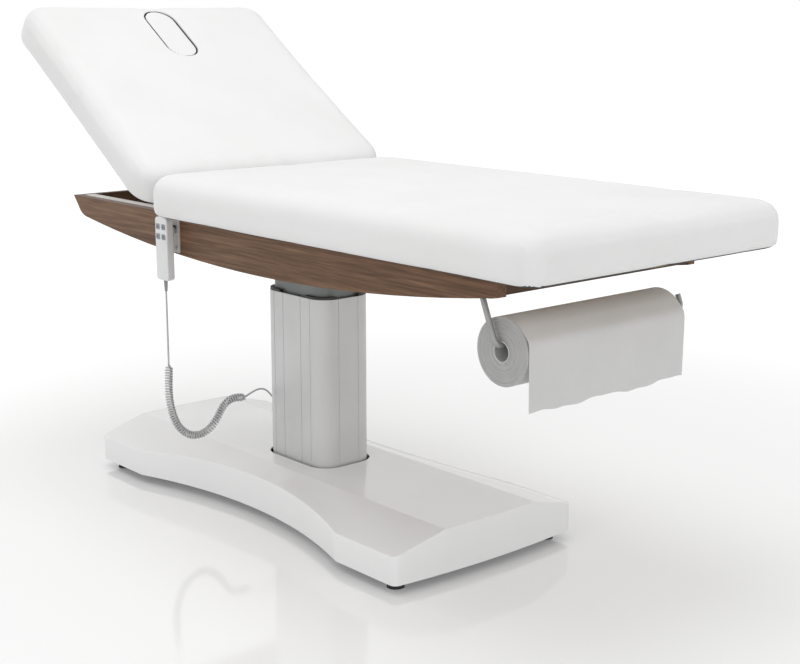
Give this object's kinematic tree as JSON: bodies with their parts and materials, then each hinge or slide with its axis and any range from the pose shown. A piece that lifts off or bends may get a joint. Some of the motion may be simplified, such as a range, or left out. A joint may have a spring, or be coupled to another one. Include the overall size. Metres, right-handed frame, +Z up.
{
  "type": "spa treatment bed",
  "caption": "Height adjustable spa treatment bed with tilting backrest, walnut frame, lifting column on a floor base, paper roll holder and corded handset",
  "frame": {"origin": "On the floor under the middle of the bed's length and width", "axes": "+X to the foot end, -Y to the near side with the handset, +Z up"},
  "size_m": [1.8982, 0.75, 1.2199],
  "materials": {
    "white_upholstery": "matt, fine grain",
    "walnut": "satin walnut veneer",
    "plywood": "raw plywood",
    "white_moulding": "glossy white",
    "column_silver": "satin anodised",
    "frame_silver": "silver powder coat",
    "dark_steel": "black powder coat",
    "zinc_steel": "zinc plated",
    "rod_silver": "satin",
    "black_rubber": "matt",
    "black_plastic": "matt",
    "grey_plastic": "fine texture",
    "button_grey": "matt",
    "cord_grey": "satin",
    "circuit_green": "satin",
    "paper_white": "matt",
    "card_grey": "matt"
  },
  "bodies": {
    "base": {"base_chassis": "dark_steel", "foot_pads": "black_rubber", "foot_studs": "zinc_steel", "base_cover": "white_moulding", "cover_screws": "zinc_steel", "mains_inlet": "black_plastic", "column_foot_plate": "dark_steel", "column_foot_bolts": "zinc_steel", "control_box": "black_plastic", "column_outer": "column_silver", "cord_gland": "black_rubber", "column_glides": "black_plastic", "lift_actuator_body": "black_plastic", "cord_curl": "cord_grey", "cord_tail": "cord_grey"},
    "lift": {"column_inner": "column_silver", "column_top_plate": "dark_steel", "column_top_bolts": "zinc_steel", "lift_actuator_rod": "zinc_steel", "frame_rail_near": "frame_silver", "frame_rail_far": "frame_silver", "frame_cross_tubes": "frame_silver", "tray_panel": "walnut", "skirt_near": "walnut", "skirt_far": "walnut", "skirt_head": "walnut", "skirt_foot": "walnut", "board_screws": "zinc_steel", "seat_board": "plywood", "seat_cushion": "white_upholstery", "hinge_plates": "frame_silver", "hinge_pins": "zinc_steel", "actuator_tube": "black_plastic", "actuator_motor": "black_plastic", "actuator_clamps": "zinc_steel", "roll_holder": "rod_silver", "holder_screws": "zinc_steel", "paper_sheet": "paper_white", "handset_bracket": "frame_silver"},
    "backrest": {"backrest_board": "plywood", "backrest_cushion": "white_upholstery", "backrest_ribs": "frame_silver", "hinge_arms": "frame_silver", "crank_arms": "frame_silver", "crank_pin": "zinc_steel"},
    "drive": {"actuator_rod": "zinc_steel", "rod_yoke": "zinc_steel"},
    "plug": {"face_plug": "white_upholstery"},
    "roll": {"paper_roll": "paper_white", "roll_core": "card_grey"},
    "handset": {"handset_front": "grey_plastic", "handset_back": "grey_plastic", "handset_circuit": "circuit_green", "handset_clip": "black_plastic", "strain_relief": "cord_grey", "cord_lead": "cord_grey"},
    "back_up_key": {"button_back_up": "button_grey"},
    "back_down_key": {"button_back_down": "button_grey"},
    "bed_up_key": {"button_bed_up": "button_grey"},
    "bed_down_key": {"button_bed_down": "button_grey"}
  },
  "joints": [
    {"name": "bed_lift", "type": "slide", "parent": "base", "child": "lift", "axis": [0, 0, 1], "range_m": [-0.14, 0.19], "deforming": ["cord_curl"]},
    {"name": "backrest_tilt", "type": "hinge", "parent": "lift", "child": "backrest", "pos_m": [-0.3135, 0, 0.81], "axis": [0, 1, 0], "range_deg": [-33.9, 36.1]},
    {"name": "drive_rod_slide", "type": "slide", "parent": "lift", "child": "drive", "axis": [-1, 0, 0], "range_m": [-0.078, 0.083]},
    {"name": "face_plug_lift", "type": "slide", "parent": "backrest", "child": "plug", "axis": [0.5577, 0, 0.83], "range_m": [0, 0.12]},
    {"name": "roll_spin", "type": "hinge", "parent": "lift", "child": "roll", "pos_m": [0.74, 0, 0.576], "axis": [0, 1, 0], "continuous": true},
    {"name": "handset_lift_off", "type": "slide", "parent": "lift", "child": "handset", "axis": [0, 0, 1], "range_m": [0, 0.005]},
    {"name": "back_up_press", "type": "slide", "parent": "handset", "child": "back_up_key", "axis": [0, 1, 0], "range_m": [0, 0.001], "stiffness_N_per_m": 300, "springref_m": -0.0005},
    {"name": "back_down_press", "type": "slide", "parent": "handset", "child": "back_down_key", "axis": [0, 1, 0], "range_m": [0, 0.001], "stiffness_N_per_m": 300, "springref_m": -0.0005},
    {"name": "bed_up_press", "type": "slide", "parent": "handset", "child": "bed_up_key", "axis": [0, 1, 0], "range_m": [0, 0.001], "stiffness_N_per_m": 300, "springref_m": -0.0005},
    {"name": "bed_down_press", "type": "slide", "parent": "handset", "child": "bed_down_key", "axis": [0, 1, 0], "range_m": [0, 0.001], "stiffness_N_per_m": 300, "springref_m": -0.0005}
  ],
  "couplings": [
    {"joint": "drive_rod_slide", "follows": "backrest_tilt", "m_per_rad": 0.1296}
  ]
}
